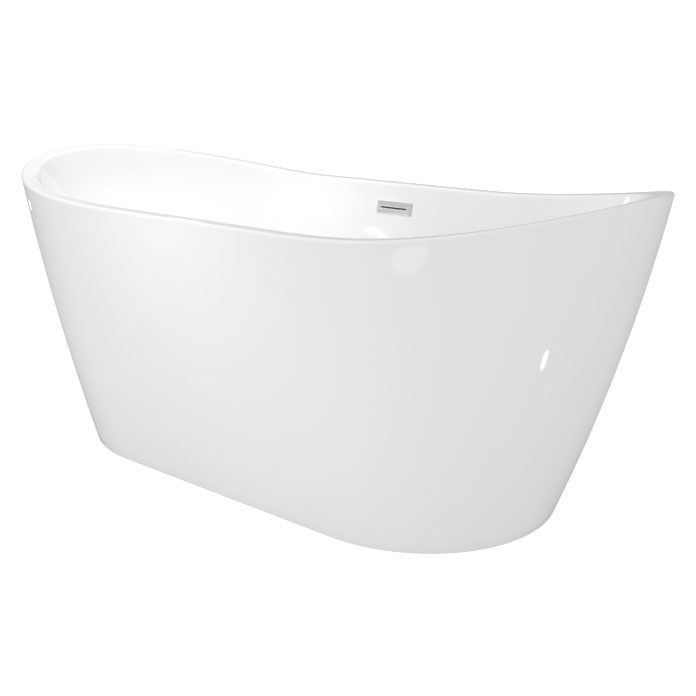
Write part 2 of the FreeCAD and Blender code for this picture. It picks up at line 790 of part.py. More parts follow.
stem = size["stem_radius"]
stem_space = stem + size["fit"]
thread = size["hub_bore"] - size["fit"]
cartridge_top = hub_high + size["cartridge_head"]
cartridge_wide = size["cartridge_radius"]
cartridge = [(stem_space, hub_low), (thread, hub_low), (thread, hub_high), (cartridge_wide, hub_high),
             (cartridge_wide, cartridge_top), (stem_space, cartridge_top)]
keep(turned("cartridge_body", cartridge), "stopper_cartridge")
cap = size["stopper_radius"]
cap_low = flange_top + size["stopper_gap"]
cap_hub_low = cap_low - size["stopper_hub_depth"]
stem_top = cap_low + size["stem_reach"]
cap_profile = [(stem_space, cap_hub_low), (size["stopper_hub"], cap_hub_low), (size["stopper_hub"], cap_low),
               (cap, cap_low), (cap, cap_low + size["stopper_edge"]),
               (cap - size["stopper_edge"], cap_low + size["stopper_shoulder"]),
               (0, cap_low + size["stopper_crown"]), (0, stem_top), (stem_space, stem_top)]
keep(turned("stopper_cap_body", cap_profile), "stopper_cap")
keep(turned("stopper_seal_body", ring(tail, tail + size["seal_width"], flange_top, cap_low)), "stopper_seal")
keep(cylinder("stopper_stem_rod", stem, stem_top - hub_low, (0, 0, hub_low)), "stopper_stem")

# ---------------------------------------------------------------- overflow, in its own frame

retainer = size["retainer"]
half_spacing = size["screw_spacing"] / 2
edge = size["plate_edge"]
wedge = doc.addObject("Part::Wedge", "plate_bevel")
face_length = size["plate_length"] - size["plate_end_bevel"]
face_height = size["plate_height"] - size["plate_side_bevel"]
wedge_ends = [("", size["plate_length"], size["plate_height"]), ("2", face_length, face_height)]
for end, length, height in wedge_ends:
    bind(wedge, "X%smin" % end, -length / 2)
    bind(wedge, "X%smax" % end, length / 2)
    bind(wedge, "Z%smin" % end, -height / 2)
    bind(wedge, "Z%smax" % end, height / 2)
bind(wedge, "Ymin", edge)
bind(wedge, "Ymax", size["plate_depth"])
place(wedge, turn=90)
plate_base = box("plate_base", size["plate_length"], size["plate_height"], edge)
plate_slot = box("plate_slot", size["slot_length"], size["slot_height"], EXTRA, (0, 0, -SMALL_EXTRA))
retainer_length = size["opening_length"] + size["retainer_margin"]
retainer_height = size["opening_height"] + size["retainer_margin"]
plate_back = box("plate_back", retainer_length + size["gap"] * 2, retainer_height + size["gap"] * 2,
                 retainer + size["gap"])
plate = boolean("Cut", "plate_hollowed", join("plate_blank", [plate_base, wedge]),
                join("plate_space", [plate_slot, plate_back]))
keep(on_wall(plate), "overflow_plate")

screw = size["overflow_screw"]
head = size["overflow_screw_head"]
case_wall = size["housing_wall"]
window_length = size["screw_spacing"] - size["retainer_window_margin"]
window_height = size["window_height"]
case_length = size["opening_length"] + size["housing_margin"]
case_height = size["opening_height"] + size["housing_margin"]
case_face = -(backing_outer + size["gasket"])


def pair(label, make):
    """The same shape at both overflow screw positions."""
    return [make("%s_%s" % (label, end), half_spacing * sx) for end, sx in ENDS]


def cone(label, low_radius, high_radius, x):
    """Countersunk shape of one overflow screw, as deep as the retainer is thick."""
    item = doc.addObject("Part::Cone", label)
    bind(item, "Radius1", low_radius)
    bind(item, "Radius2", high_radius)
    bind(item, "Height", retainer)
    return place(item, (x, 0, 0))


def cone_seat(label, x):
    """Countersink for one overflow screw."""
    return cone(label, screw + size["fit"], head + size["fit"], x)


retainer_plate = box("retainer_plate", retainer_length, retainer_height, retainer)
retainer_window = box("retainer_window", window_length, window_height, retainer)
retainer_space = join("retainer_space", [retainer_window] + pair("retainer_seat", cone_seat))
keep(on_wall(boolean("Cut", "retainer_cut", retainer_plate, retainer_space)), "overflow_retainer")


def overflow_screw(label, x):
    """Countersunk screw from the retainer into the housing."""
    reach = -case_face + case_wall + size["overflow_screw_hold"]
    shank = cylinder(label + "_shank", screw, reach, (x, 0, -reach))
    return join(label, [shank, cone(label + "_head", screw, head, x)])


keep(on_wall(group("overflow_screw_set", pair("overflow_screw", overflow_screw))), "overflow_screws")

gasket_plate = box("gasket_plate", case_length, case_height, size["gasket"], (0, 0, case_face))
gasket_window = box("gasket_window", size["opening_length"], size["opening_height"], size["gasket"],
                    (0, 0, case_face))
keep(on_wall(boolean("Cut", "gasket_cut", gasket_plate, gasket_window)), "overflow_gasket")

case_back = case_face - size["housing_depth"]
case_floor = case_back + case_wall
inner_depth = size["housing_depth"] - case_wall * 2
hose_axis = case_face - size["housing_depth"] / 2 - size["spigot_offset"]
case_low = case_height / 2
boss = head + size["boss_margin"]


def screw_boss(label, x):
    """Solid post for one overflow screw."""
    return cylinder(label, boss, inner_depth, (x, 0, case_floor))


def screw_bore(label, x):
    """Threaded hole for one overflow screw."""
    return cylinder(label, screw + size["fit"], inner_depth, (x, 0, case_face - inner_depth))


case_block = box("case_block", case_length, case_height, size["housing_depth"], (0, 0, case_back))
case_room = box("case_room", case_length - case_wall * 2, case_height - case_wall * 2, inner_depth,
                (0, 0, case_floor))
case_window = box("case_window", window_length, window_height, EXTRA, (0, 0, case_floor + TINY_EXTRA))
case_hollow = boolean("Cut", "case_hollow", case_block, join("case_space", [case_room, case_window]))
case_spigot = cylinder("case_spigot", spigot, size["housing_spigot"] + case_wall,
                       (0, -case_low + case_wall, hose_axis), 90)
case_spigot_bore = cylinder("case_spigot_bore", spigot_bore, size["housing_spigot"] + case_wall * 2,
                            (0, -case_low + case_wall + TINY_EXTRA, hose_axis), 90)
case_solid = join("case_solid", [case_hollow, case_spigot] + pair("case_boss", screw_boss))
case_bores = join("case_bores", [case_spigot_bore] + pair("case_bore", screw_bore))
keep(on_wall(boolean("Cut", "case_bored", case_solid, case_bores)), "overflow_housing")

# ---------------------------------------------------------------- overflow hose

side_sine = side_slope * side_cosine
hose_start_drop = case_low + size["hose_start_gap"]
start_y = overflow_y - side_sine * hose_start_drop - side_cosine * hose_axis
start_z = overflow_height - side_cosine * hose_start_drop + side_sine * hose_axis
turn_y = start_y - side_slope * (start_z - side_z)
end_y = size["spigot_reach"] - size["hose_overlap"]


def hose_route(label):
    """Centre line of the hose: down the back of the well, one bend, then level to the waste."""
    sketch = free_sketch(label)
    sketch.Placement = FreeCAD.Placement(Vector(0, 0, 0), FreeCAD.Rotation(90, 0, 90))
    ay, az, cy, cz, by = [value.value for value in (start_y, start_z, turn_y, side_z, end_y)]
    bend = size["hose_bend"].value
    angle = math.atan2(az - cz, ay - cy)
    reach = bend / math.tan((math.pi - angle) / 2)
    first = Vector(cy + reach * math.cos(angle), cz + reach * math.sin(angle), 0)
    second = Vector(cy - reach, cz, 0)
    centre = Vector(second.x, cz + bend, 0)
    down = sketch.addGeometry(Part.LineSegment(Vector(ay, az, 0), first))
    low_angle = -math.pi / 2
    high_angle = math.atan2(first.y - centre.y, first.x - centre.x)
    circle = Part.Circle(centre, Vector(0, 0, 1), bend)
    curve = sketch.addGeometry(Part.ArcOfCircle(circle, low_angle, high_angle))
    level = sketch.addGeometry(Part.LineSegment(second, Vector(by, cz, 0)))
    corner = sketch.addGeometry(Part.Point(Vector(cy, cz, 0)), True)
    sketch.addConstraint(Constraint("Tangent", down, 2, curve, 2))
    sketch.addConstraint(Constraint("Tangent", curve, 1, level, 1))
    sketch.addConstraint(Constraint("PointOnObject", corner, 1, down))
    sketch.addConstraint(Constraint("PointOnObject", corner, 1, level))
    ends = [(down, 1, start_y, start_z), (level, 2, end_y, side_z), (corner, 1, turn_y, side_z)]
    for element, point, y, z in ends:
        dimension(sketch, "DistanceX", -1, 1, element, point, y)
        dimension(sketch, "DistanceY", -1, 1, element, point, z)
    dimension(sketch, "Radius", curve, size["hose_bend"])
    return sketch


route = hose_route("hose_route")


def along_hose(label, radius):
    """Round solid that follows the hose route, started from its level end."""
    outline = free_sketch(label + "_outline")
    outline.Placement = FreeCAD.Placement(Vector(0, 0, 0), FreeCAD.Rotation(Vector(1, 0, 0), 90))
    bind(outline, "Placement.Base.y", end_y)
    bind(outline, "Placement.Base.z", side_z)
    draw_circle(outline, radius)
    item = doc.addObject("Part::Sweep", label)
    item.Sections = [outline]
    doc.recompute()
    item.Spine = (route, ["Edge%d" % number for number in range(1, len(route.Shape.Edges) + 1)])
    item.Solid = True
    return item


keep(boolean("Cut", "hose_bored", along_hose("hose_outside", size["hose_radius"]),
             along_hose("hose_inside", size["hose_bore"])), "overflow_hose")

clip_bore = size["hose_radius"] + size["fit"]
clip_width = size["clip_width"]
block_height = size["clip_block_height"]
clip_start = hose_start_drop + size["clip_offset"]
clips = [("upper", -1, -clip_start, hose_axis), ("lower", 1, end_y + size["clip_offset"], side_z)]
for name, way, y, z in clips:
    turn = -90 * way
    band = cylinder("clip_band_" + name, clip_bore + size["clip_wall"], clip_width, (0, y, z), turn)
    middle = y + clip_width / 2 * way
    block = box("clip_block_" + name, size["clip_block"], clip_width, block_height,
                (clip_bore - TINY_EXTRA + size["clip_block"] / 2, middle, z - block_height / 2))
    space = cylinder("clip_space_" + name, clip_bore, clip_width + TINY_EXTRA * 2,
                     (0, y - TINY_EXTRA * way, z), turn)
    clip = boolean("Cut", "clip_" + name, join("clip_joined_" + name, [band, block]), space)
    keep(on_wall(clip) if name == "upper" else clip, "hose_clip_" + name)

# ---------------------------------------------------------------- checks and files

doc.recompute()
faults = [item.Label + " " + "/".join(item.State) for item in doc.Objects
          if "Invalid" in item.State or "Error" in item.State]
for item in nodes:
    if item.Shape.isNull() or not item.Shape.isValid():
        faults.append(item.Label + " has a bad shape")
if faults:
    raise RuntimeError("; ".join(faults))

outline = FreeCAD.BoundBox()
for item in nodes:
    bounds = item.Shape.BoundBox
    outline.add(bounds)
    print("%-28s solids %d volume %.0f" % (item.Label, len(item.Shape.Solids), item.Shape.Volume),
          "x %.1f %.1f y %.1f %.1f z %.1f %.1f" % (bounds.XMin, bounds.XMax, bounds.YMin, bounds.YMax,
                                                    bounds.ZMin, bounds.ZMax))
    item.Shape.exportStep("parts/%s.step" % item.Label)
print("nodes", len(nodes), "size %.1f %.1f %.1f" % (outline.XLength, outline.YLength, outline.ZLength))
print("hose route length %.1f" % route.Shape.Length)
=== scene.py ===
"""Freestanding bathtub: finished meshes, materials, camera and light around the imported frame."""
import math

import bmesh
import bpy
from mathutils import Matrix, Vector


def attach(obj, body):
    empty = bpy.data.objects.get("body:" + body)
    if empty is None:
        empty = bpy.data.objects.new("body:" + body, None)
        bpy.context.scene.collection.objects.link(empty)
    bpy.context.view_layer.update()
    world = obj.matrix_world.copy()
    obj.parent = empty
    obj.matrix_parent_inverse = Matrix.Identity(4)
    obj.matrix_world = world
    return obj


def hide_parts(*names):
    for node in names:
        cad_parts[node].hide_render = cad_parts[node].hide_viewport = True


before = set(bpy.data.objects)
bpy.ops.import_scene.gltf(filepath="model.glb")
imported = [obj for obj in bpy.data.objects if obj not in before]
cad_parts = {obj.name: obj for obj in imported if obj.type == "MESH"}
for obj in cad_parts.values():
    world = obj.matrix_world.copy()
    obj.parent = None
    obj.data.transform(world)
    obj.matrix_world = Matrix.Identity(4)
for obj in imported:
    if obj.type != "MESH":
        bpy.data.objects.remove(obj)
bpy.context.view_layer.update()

# Sizes of the tub in metres, the same as in the CAD source.
HALF_LENGTH = 0.75
HALF_WIDTH = 0.3725
END_HEIGHT = 0.65
RIM_DIP = 0.073
LEVEL_HALF = 0.219
END_TAPER = 0.177
SIDE_TAPER = 0.089
END_BOW = 0.0167
SIDE_BOW = 0.0033
RIM_BAND = 0.028
SHELL = 0.005
SKIRT_WALL = 0.006
LIP_DEPTH = 0.014
RIM_OUTER = 0.006
RIM_INNER = 0.010
FLOOR_HEIGHT = 0.140
FLOOR_END = 0.222
FLOOR_SIDE = 0.1165
FLOOR_RADIUS = 0.090
RECESS_RADIUS = 0.043
RECESS_DEPTH = 0.003
WASTE_HOLE = 0.026
OPENING_LENGTH = 0.090
OPENING_HEIGHT = 0.020
OVERFLOW_DROP = 0.057
PLATE_LENGTH = 0.100
PLATE_HEIGHT = 0.030
PLATE_DEPTH = 0.005
PLATE_EDGE = 0.001
POCKET_DEPTH = 0.0013
POCKET_MARGIN = 0.0027
FACE_LENGTH = 0.080
FACE_HEIGHT = 0.008
SLOT_LENGTH = 0.076
SLOT_HEIGHT = 0.0035
CAP_LOW = 0.1425
CAP_HIGH = 0.1465
CAP_RADIUS = 0.032
CAP_HUB = 0.006
STEM_HOLE = 0.00255

# Rows and steps of the meshes.
END_STEPS = 96
SIDE_STEPS = 12
OUTSIDE_ROWS = 26
INSIDE_ROWS = 12
OUTER_ARC_STEPS = 8
INNER_ARC_STEPS = 10
RIM_STEPS = 6
WALL_ROWS = 16
FLOOR_ARC_STEPS = 16
UNDER_ARC_STEPS = 8
CAP_STEPS = 96
DOME_ROWS = 12
RIM_TRIES = 12
MERGE_DISTANCE = 1e-6
LEVEL_TOLERANCE = 1e-7
SHARE_TOLERANCE = 1e-9
STRAIGHT_SIDE = 0.999

# Soft bottom edge of the outer shell, as heights and distances in from its face.
BASE_EDGE = [(0.0, 0.0020), (0.0006, 0.0006), (0.002, 0.0)]
SEAM_MARGIN = 0.004
# Rows near the top of the well's wall and across its floor, as shares of the way.
FIRST_WALL_SHARE = 0.02
FLOOR_SHARES = (0.03, 0.12, 0.3, 0.5, 0.7, 0.85, 0.95, 1.0)
# Soft edge of the waste recess, as distances out from its radius and down from the floor.
RECESS_EDGE = [(0.0007, 0.0003), (0.0001, 0.0010), (-0.0002, 0.0022), (-0.0008, 0.0028), (-0.0018, 0.0030)]
RECESS_MARGIN = 0.0015
UNDER_MARGIN = 0.02
# Corner radii of the overflow plate.
SLOT_ROUNDING = 0.98
FACE_CORNER = 0.0010
PLATE_CORNER = 0.0012
POCKET_CORNER = 0.0008
# Fall of the stopper cap's dome and the share of the radius that it covers.
DOME_FALL = 0.0009
DOME_SHARE = 0.94

# Pitch of two plies of the floor board and of the rings of the hose.
PLY_PAIR = 0.0043
RIB_PITCH = 0.004

# Camera: where it looks, from where, and its lens.
TARGET = Vector((0, 0, 0.300))
AZIMUTH = math.radians(40.05)
ELEVATION = math.radians(15.24)
DISTANCE = 2.2
SENSOR = 36
LENS = 52.29828
SHIFT_X = 0.057184
SHIFT_Y = -0.032040
CAMERA_REACH = 100

# Floor and sky: white to the camera, a matt light on the tub, and dimmer again where gloss mirrors them.
FLOOR_LOOK, FLOOR_LIGHT, FLOOR_GLOSS = 0.88, 0.54, 0.20
SKY_LOOK, SKY_LIGHT, SKY_GLOSS_FRONT, SKY_GLOSS_BACK = 1.02, 0.87, 0.80, 0.45
GLOSS_TURN = -0.3
FLOOR_REACH = 60.0
FLOOR_DROP = 0.0005

UP = Vector((0, 0, 1))
WELL_DEPTH = END_HEIGHT - FLOOR_HEIGHT
MIDDLE_HEIGHT = END_HEIGHT - RIM_DIP
SWEEP_RUN = HALF_LENGTH - LEVEL_HALF
SWEEP_RADIUS = (SWEEP_RUN ** 2 + RIM_DIP ** 2) / (2 * RIM_DIP)
END_SLOPE = FLOOR_END / WELL_DEPTH
SIDE_SLOPE = FLOOR_SIDE / WELL_DEPTH
FLOOR_HALF_LENGTH = HALF_LENGTH - RIM_BAND - FLOOR_END
FLOOR_HALF_WIDTH = HALF_WIDTH - RIM_BAND - FLOOR_SIDE


# ---------------------------------------------------------------- shape of the tub

def rim_height(x):
    """Height of the rim line: level in the middle, then an arc up to each end."""
    past = max(abs(x) - LEVEL_HALF, 0.0)
    return MIDDLE_HEIGHT + SWEEP_RADIUS - math.sqrt(SWEEP_RADIUS ** 2 - past ** 2)


def rim_slope(x):
    """Rise of the rim per metre along X."""
    past = max(abs(x) - LEVEL_HALF, 0.0)
    return math.copysign(past / math.sqrt(SWEEP_RADIUS ** 2 - past ** 2), x)


def outer_form(z):
    """Half length and half width of the outside at a height."""
    share = z / END_HEIGHT
    bow = 4 * share * (1 - share)
    half_length = HALF_LENGTH - END_TAPER + END_TAPER * share + END_BOW * bow
    half_width = HALF_WIDTH - SIDE_TAPER + SIDE_TAPER * share + SIDE_BOW * bow
    return half_length, half_width


def well_form(z):
    """Half length and half width of the bathing well at a height."""
    rise = z - FLOOR_HEIGHT
    return FLOOR_HALF_LENGTH + END_SLOPE * rise, FLOOR_HALF_WIDTH + SIDE_SLOPE * rise


def point_on(form, column, z, inset=0.0):
    """Point of a round-ended outline at a height; a column is a share of the straight run and a normal."""
    share, normal = column
    half_length, half_width = form(z)
    run = half_length - half_width
    return Vector((share * run, 0, z)) + normal * (half_width - inset)


def lean(form, column, z):
    """How far the wall moves outwards along the column's normal per metre of height."""
    step = 0.001
    low = form(z - step)
    high = form(z + step)
    width_rate = (high[1] - low[1]) / (2 * step)
    run_rate = ((high[0] - high[1]) - (low[0] - low[1])) / (2 * step)
    return run_rate * abs(column[1].x) + width_rate


def meet_rim(form, column, drop=0.0, inset=0.0):
    """Point where a wall reaches the rim line lowered by a drop."""
    z = MIDDLE_HEIGHT
    for _ in range(RIM_TRIES):
        z = rim_height(point_on(form, column, z, inset).x) - drop
    return point_on(form, column, z, inset)


def rounded(corner, first, second, radius, steps):
    """Arc that rounds a corner between two directions, from the first to the second."""
    half = first.angle(second) / 2
    centre = corner + (first + second).normalized() * (radius / math.sin(half))
    reach = radius / math.tan(half)
    start = corner + first * reach - centre
    end = corner + second * reach - centre
    return [centre + turn(start, end, step / steps) for step in range(steps + 1)]


def turn(start, end, share):
    """Vector turned from start towards end by a share of the angle between them."""
    angle = start.angle(end)
    return (start * math.sin((1 - share) * angle) + end * math.sin(share * angle)) / math.sin(angle)


def make_columns(end_steps, side_shares):
    """Columns right round the outline, starting at the front of the right end."""
    columns = []
    for sign in (1, -1):
        for step in range(end_steps):
            angle = math.pi * (step / end_steps - 0.5)
            columns.append((sign, Vector((sign * math.cos(angle), sign * math.sin(angle), 0))))
        for share in side_shares:
            columns.append((sign * share, Vector((0, sign, 0))))
    return columns


def spread(start, end, count):
    """Points evenly spaced after start, up to and with end."""
    return [start.lerp(end, step / count) for step in range(1, count + 1)]


def mesh_object(name, vertices, faces, material, sharp=35):
    """Object from points and faces, smooth apart from edges sharper than the given degrees."""
    mesh = bpy.data.meshes.new(name)
    mesh.from_pydata([tuple(vertex) for vertex in vertices], [], faces)
    tidy = bmesh.new()
    tidy.from_mesh(mesh)
    bmesh.ops.remove_doubles(tidy, verts=tidy.verts, dist=MERGE_DISTANCE)
    bmesh.ops.recalc_face_normals(tidy, faces=tidy.faces)
    tidy.to_mesh(mesh)
    tidy.free()
    mesh.shade_smooth()
    mesh.set_sharp_from_angle(angle=math.radians(sharp))
    mesh.materials.append(material)
    piece = bpy.data.objects.new(name, mesh)
    bpy.context.scene.collection.objects.link(piece)
    return piece


def skin(rings, closed):
    """Vertices and quads of a grid of rings; closed joins the last ring to the first."""
    count = len(rings[0])
    vertices = [point for ring in rings for point in ring]
    faces = []
    last = len(rings) if closed else len(rings) - 1
    for row in range(last):
        low, high = row * count, ((row + 1) % len(rings)) * count
        for index in range(count):
            after = (index + 1) % count
            faces.append((low + index, low + after, high + after, high + index))
    return vertices, faces


# ---------------------------------------------------------------- materials

def new_material(name, color, roughness, **inputs):
    """Principled material with plain values; returns the material, its nodes, links and shader."""
    material = bpy.data.materials.new(name)
    material.use_nodes = True
    nodes, links = material.node_tree.nodes, material.node_tree.links
    shader = nodes["Principled BSDF"]
    shader.inputs["Base Color"].default_value = (*color, 1)
    shader.inputs["Roughness"].default_value = roughness
    for key, value in inputs.items():
        shader.inputs[key.replace("_", " ")].default_value = value
    return material, nodes, links, shader


def object_position(nodes, links, stretch=(1, 1, 1)):
    """Position on the object, scaled along each axis."""
    place = nodes.new("ShaderNodeTexCoord")
    scale = nodes.new("ShaderNodeMapping")
    scale.inputs["Scale"].default_value = stretch
    links.new(place.outputs["Object"], scale.inputs["Vector"])
    return scale.outputs["Vector"]


def noise(nodes, links, vector, scale, detail=3.0, rough=0.5):
    """Noise texture value at a scale in lumps per metre."""
    texture = nodes.new("ShaderNodeTexNoise")
    texture.inputs["Scale"].default_value = scale
    texture.inputs["Detail"].default_value = detail
    texture.inputs["Roughness"].default_value = rough
    links.new(vector, texture.inputs["Vector"])
    return texture.outputs["Fac"]


def ramp(nodes, links, value, stops):
    """Colour ramp through (position, colour) stops."""
    item = nodes.new("ShaderNodeValToRGB")
    elements = item.color_ramp.elements
    while len(elements) < len(stops):
        elements.new(0.5)
    for element, (position, color) in zip(elements, stops):
        element.position = position
        element.color = (*color, 1)
    links.new(value, item.inputs["Fac"])
    return item.outputs["Color"]


def map_range(nodes, links, value, low, high):
    """Node that maps a value from 0..1 to between two numbers."""
    item = nodes.new("ShaderNodeMapRange")
    item.inputs["To Min"].default_value = low
    item.inputs["To Max"].default_value = high
    links.new(value, item.inputs["Value"])
    return item


def spread_value(nodes, links, value, low, high):
    """Value from 0..1 mapped to low..high."""
    return map_range(nodes, links, value, low, high).outputs["Result"]


def bump(nodes, links, shader, height, strength, distance):
    """Bump on a shader from a height value, with distance in metres."""
    item = nodes.new("ShaderNodeBump")
    item.inputs["Strength"].default_value = strength
    item.inputs["Distance"].default_value = distance
    links.new(height, item.inputs["Height"])
    links.new(item.outputs["Normal"], shader.inputs["Normal"])
    return item


def tinted(name, stops, scale, roughness, rough_span, grain, grain_depth, stretch=(1, 1, 1), **inputs):
    """Material whose colour, gloss and surface all vary with noise at a scale."""
    color = stops[0][1]
    material, nodes, links, shader = new_material(name, color, roughness, **inputs)
    vector = object_position(nodes, links, stretch)
    patches = noise(nodes, links, vector, scale)
    links.new(ramp(nodes, links, patches, stops), shader.inputs["Base Color"])
    links.new(spread_value(nodes, links, patches, roughness - rough_span, roughness + rough_span),
              shader.inputs["Roughness"])
    fine = noise(nodes, links, vector, grain, 4.0, 0.6)
    bump(nodes, links, shader, fine, 0.5, grain_depth)
    return material


def grey(value):
    """Neutral colour of a given lightness."""
    return (value, value, value)


def stretched_grain(nodes, links, vector, turn, stretch, scale):
    """Streaky noise whose streaks run at an angle about Z."""
    lay = nodes.new("ShaderNodeMapping")
    lay.inputs["Rotation"].default_value = (0, 0, math.radians(turn))
    lay.inputs["Scale"].default_value = stretch
    links.new(vector, lay.inputs["Vector"])
    return noise(nodes, links, lay.outputs["Vector"], scale, 2.0, 0.6)


def math_node(nodes, links, operation, *values):
    """Result of a math operation on sockets or plain numbers."""
    item = nodes.new("ShaderNodeMath")
    item.operation = operation
    for socket, value in zip(item.inputs, values):
        if isinstance(value, (int, float)):
            socket.default_value = value
        else:
            links.new(value, socket)
    return item.outputs["Value"]


def part_of(nodes, links, vector, axis):
    """One coordinate of a position."""
    item = nodes.new("ShaderNodeSeparateXYZ")
    links.new(vector, item.inputs["Vector"])
    return item.outputs[axis]


def blend_colors(nodes, links, share, first, second):
    """Colour between two colour sockets by a share."""
    item = nodes.new("ShaderNodeMix")
    item.data_type = "RGBA"
    links.new(share, item.inputs["Factor"])
    links.new(first, item.inputs["A"])
    links.new(second, item.inputs["B"])
    return item.outputs["Result"]


def make_glass_fibre():
    """Chopped strand mat in resin: pale streaks lying every way over a milky ground."""
    material, nodes, links, shader = new_material("glass_fibre", (0.72, 0.71, 0.62), 0.38, Coat_Weight=0.3)
    place = object_position(nodes, links)
    strands = None
    for turn in (8, 50, 93, 141):
        layer = stretched_grain(nodes, links, place, turn, (9, 1, 3), 70)
        strands = layer if strands is None else math_node(nodes, links, "MAXIMUM", strands, layer)
    stops = [(0.50, (0.46, 0.46, 0.36)), (0.60, (0.66, 0.65, 0.55)), (0.72, (0.82, 0.81, 0.74))]
    links.new(ramp(nodes, links, strands, stops), shader.inputs["Base Color"])
    bump(nodes, links, shader, strands, 0.6, 0.0006)
    return material


def make_plywood():
    """Birch plywood: grain along X on the faces, stacked plies on the edges."""
    material, nodes, links, shader = new_material("plywood", (0.70, 0.52, 0.33), 0.55)
    place = object_position(nodes, links)
    grain = stretched_grain(nodes, links, place, 0, (1, 14, 14), 9)
    face_stops = [(0.35, (0.60, 0.42, 0.25)), (0.5, (0.72, 0.54, 0.35)), (0.65, (0.79, 0.62, 0.43))]
    height = part_of(nodes, links, place, "Z")
    turns = math_node(nodes, links, "MULTIPLY", height, 2 * math.pi / PLY_PAIR)
    plies = math_node(nodes, links, "SINE", turns)
    ply_wave = math_node(nodes, links, "MULTIPLY_ADD", plies, 0.5, 0.5)
    ply_share = spread_value(nodes, links, ply_wave, 0.2, 0.8)
    edge_stops = [(0.35, (0.36, 0.22, 0.12)), (0.55, (0.74, 0.56, 0.37))]
    normal = nodes.new("ShaderNodeNewGeometry").outputs["Normal"]
    upright = math_node(nodes, links, "ABSOLUTE", part_of(nodes, links, normal, "Z"))
    is_face = math_node(nodes, links, "GREATER_THAN", upright, 0.7)
    color = blend_colors(nodes, links, is_face, ramp(nodes, links, ply_share, edge_stops),
                         ramp(nodes, links, grain, face_stops))
    links.new(color, shader.inputs["Base Color"])
    bump(nodes, links, shader, grain, 0.4, 0.0003)
    return material


def make_zinc():
    """Galvanised steel: flat crystals of slightly different grey and gloss."""
    material, nodes, links, shader = new_material("zinc_steel", grey(0.55), 0.4, Metallic=1.0)
    place = object_position(nodes, links)
    cells = nodes.new("ShaderNodeTexVoronoi")
    cells.inputs["Scale"].default_value = 130
    links.new(place, cells.inputs["Vector"])
    shade = part_of(nodes, links, cells.outputs["Color"], "X")
    stops = [(0.0, (0.50, 0.51, 0.53)), (0.6, (0.60, 0.61, 0.63)), (1.0, (0.70, 0.71, 0.72))]
    links.new(ramp(nodes, links, shade, stops), shader.inputs["Base Color"])
    links.new(spread_value(nodes, links, shade, 0.30, 0.46), shader.inputs["Roughness"])
    bump(nodes, links, shader, noise(nodes, links, place, 420, 3.0, 0.6), 0.3, 0.0001)
    return material


def make_ribbed():
    """Grey hose plastic with fine rings, a little scuffed."""
    material, nodes, links, shader = new_material("hose_plastic", grey(0.42), 0.42)
    place = object_position(nodes, links)
    patches = noise(nodes, links, place, 35)
    stops = [(0.35, (0.36, 0.37, 0.38)), (0.65, (0.47, 0.48, 0.49))]
    links.new(ramp(nodes, links, patches, stops), shader.inputs["Base Color"])
    links.new(spread_value(nodes, links, patches, 0.34, 0.5), shader.inputs["Roughness"])
    along = math_node(nodes, links, "SUBTRACT", part_of(nodes, links, place, "Y"),
                      part_of(nodes, links, place, "Z"))
    turns = math_node(nodes, links, "MULTIPLY", along, 2 * math.pi / RIB_PITCH)
    rings = math_node(nodes, links, "SINE", turns)
    bump(nodes, links, shader, rings, 0.7, 0.0005)
    return material


ACRYLIC = tinted("white_acrylic", [(0.3, (0.800, 0.802, 0.806)), (0.7, (0.812, 0.813, 0.815))], 3.0,
                 0.075, 0.012, 60.0, 0.00004, Coat_Weight=0.6, Coat_Roughness=0.03, IOR=1.49)
CHROME = tinted("chrome", [(0.3, (0.64, 0.645, 0.655)), (0.7, (0.70, 0.705, 0.71))], 40.0,
                0.045, 0.015, 900.0, 0.000004, Metallic=1.0)
BRASS = tinted("brass", [(0.35, (0.62, 0.42, 0.17)), (0.65, (0.80, 0.60, 0.28))], 60.0,
               0.28, 0.08, 700.0, 0.00006, Metallic=1.0)
STAINLESS = tinted("stainless", [(0.35, grey(0.55)), (0.65, grey(0.68))], 50.0,
                   0.27, 0.07, 500.0, 0.00005, (1, 12, 12), Metallic=1.0)
RUBBER = tinted("seal_rubber", [(0.35, grey(0.018)), (0.65, grey(0.032))], 80.0, 0.72, 0.08, 900.0, 0.0001)
FITTING_PLASTIC = tinted("fitting_plastic", [(0.35, (0.66, 0.67, 0.68)), (0.65, (0.73, 0.74, 0.75))], 25.0,
                         0.42, 0.05, 800.0, 0.00008)
BLACK_PLASTIC = tinted("black_plastic", [(0.35, grey(0.022)), (0.65, grey(0.036))], 40.0,
                       0.48, 0.07, 800.0, 0.00012)
TIMBER_SHADES = [(0.35, (0.52, 0.35, 0.19)), (0.5, (0.66, 0.48, 0.29)), (0.65, (0.74, 0.58, 0.38))]
TIMBER = tinted("timber", TIMBER_SHADES, 22.0, 0.62, 0.06, 120.0, 0.0004, (6, 0.5, 6))
GLASS_FIBRE = make_glass_fibre()
PLYWOOD = make_plywood()
ZINC = make_zinc()
HOSE_PLASTIC = make_ribbed()

# The finish of every CAD node that stays visible, by the start of its name.
FINISHES = {
    "glass_fibre_backing": GLASS_FIBRE, "floor_board": PLYWOOD, "skirt_brace": TIMBER,
    "rail": ZINC, "cross_member": ZINC, "frame_screws": ZINC, "weld_nut": ZINC, "lock_nut": ZINC,
    "foot_stud": ZINC, "foot_pad": BLACK_PLASTIC, "waste_top_seal": RUBBER, "waste_bottom_seal": RUBBER,
    "stopper_seal": RUBBER, "overflow_gasket": RUBBER, "waste_flange": CHROME, "waste_nut": BRASS,
    "stopper_cartridge": BRASS, "stopper_stem": BRASS, "tailpiece": BRASS, "waste_tee": FITTING_PLASTIC,
    "slip_nut": FITTING_PLASTIC, "overflow_housing": FITTING_PLASTIC, "overflow_hose": HOSE_PLASTIC,
    "hose_clip": STAINLESS, "overflow_retainer": STAINLESS, "overflow_screws": STAINLESS,
}
for name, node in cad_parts.items():
    for start, material in FINISHES.items():
        if name.startswith(start):
            node.data.materials.clear()
            node.data.materials.append(material)

